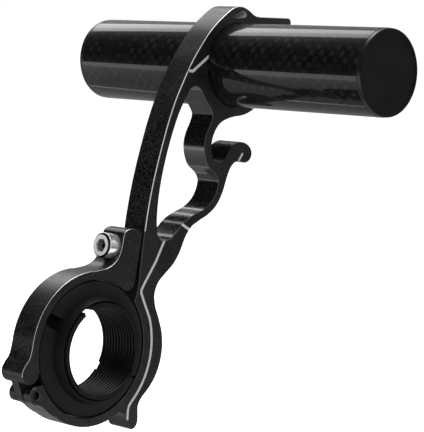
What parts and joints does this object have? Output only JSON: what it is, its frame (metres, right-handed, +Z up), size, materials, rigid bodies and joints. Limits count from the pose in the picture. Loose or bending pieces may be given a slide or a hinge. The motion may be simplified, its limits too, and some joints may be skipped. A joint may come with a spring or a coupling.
{
  "type": "handlebar extender",
  "caption": "Bracket that clamps on a handlebar with a hinged jaw and carries a second tube above and ahead of it for lights and other accessories.",
  "frame": {"origin": "on the axis of the handlebar clamp, half way through the thickness of the bracket", "axes": "+X along the handlebar and the extension tube, towards the tube's longer free end; +Y level, from the clamp towards the extension tube; +Z up"},
  "size_m": [0.1026, 0.0957, 0.1074],
  "materials": {
    "anodised": "black anodised, fine matte grain, bare metal along milled edges and lines",
    "pin_steel": "dark steel",
    "screw_steel": "polished stainless steel",
    "insert_plastic": "satin black moulded plastic",
    "woven_tube": "clear-coated black weave",
    "cap_plastic": "matte black moulded plastic"
  },
  "bodies": {
    "bracket": {"bracket": "anodised", "hinge_pin": "pin_steel", "outer_insert": "insert_plastic", "middle_insert": "insert_plastic", "inner_insert": "insert_plastic", "extension_tube": "woven_tube", "end_cap_right": "cap_plastic", "end_cap_left": "cap_plastic"},
    "jaw": {"clamp_jaw": "anodised"},
    "screw": {"clamp_screw": "screw_steel"}
  },
  "joints": [
    {"name": "jaw_swing", "type": "hinge", "parent": "bracket", "child": "jaw", "pos_m": [0, -0.01835, -0.009], "axis": [1, 0, 0], "range_deg": [0, 90]},
    {"name": "screw_slide", "type": "slide", "parent": "jaw", "child": "screw", "axis": [0, -0.9816, 0.1908], "range_m": [0, 0.01]}
  ]
}
